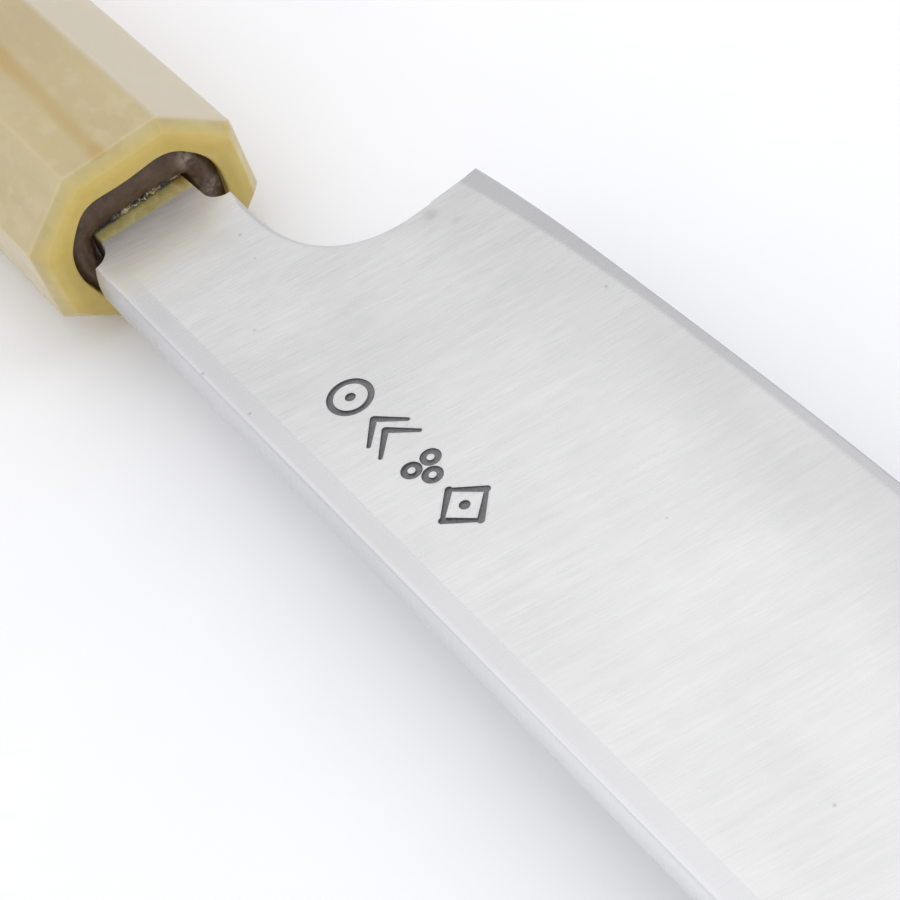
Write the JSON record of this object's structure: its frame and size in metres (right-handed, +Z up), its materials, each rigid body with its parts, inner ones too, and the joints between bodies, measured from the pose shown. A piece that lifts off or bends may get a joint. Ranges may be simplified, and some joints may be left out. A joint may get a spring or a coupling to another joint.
{
  "type": "boning knife",
  "caption": "Boning knife with a single-bevel steel blade, notched heel and octagonal wooden handle with a pale horn ferrule.",
  "frame": {"origin": "on the surface the knife lies on, under the middle of its overall length and width", "axes": "+X from the butt to the tip, +Y towards the cutting edge, +Z up out of the flat (ura) side; the lower wide facet of the handle lies on z = 0"},
  "size_m": [0.34, 0.039, 0.0212],
  "materials": {
    "steel": "satin, ground across the blade",
    "horn": "polished pale buffalo horn, slightly translucent, amber streaks",
    "wood": "smooth sanded magnolia, unvarnished",
    "resin": "dark brown poured resin, rough",
    "bedding": "hardened tang cement, hidden"
  },
  "bodies": {
    "root": {"blade": "steel", "horn_ferrule": "horn", "handle_body": "wood", "mouth_resin": "resin", "tang_bedding": "bedding"}
  },
  "joints": []
}
